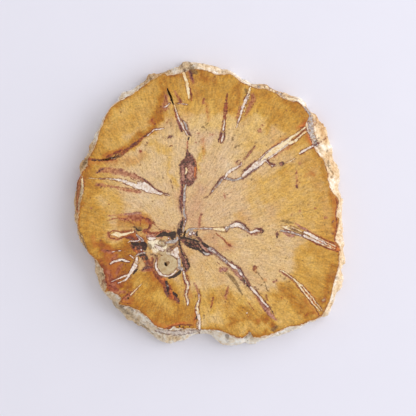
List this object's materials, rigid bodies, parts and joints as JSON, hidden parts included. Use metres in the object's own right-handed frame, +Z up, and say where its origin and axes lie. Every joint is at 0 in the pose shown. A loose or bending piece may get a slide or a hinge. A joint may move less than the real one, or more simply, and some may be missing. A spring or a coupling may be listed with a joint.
{
  "type": "petrified wood slice",
  "caption": "Cross-cut slice of petrified wood, polished on its golden veined face, sawn flat below, with a rough weathered rind.",
  "frame": {"origin": "middle of the slice's bounding box, in the plane of the sawn underside", "axes": "+Z up through the thickness, out of the polished face; +Y along the slice's longest way across; +X to its right as the polished face is looked down on"},
  "size_m": [0.1092, 0.1143, 0.01],
  "materials": {
    "stone": "polished above, sawn matte below, rough rind"
  },
  "bodies": {
    "root": {"slice": "stone"}
  },
  "joints": []
}
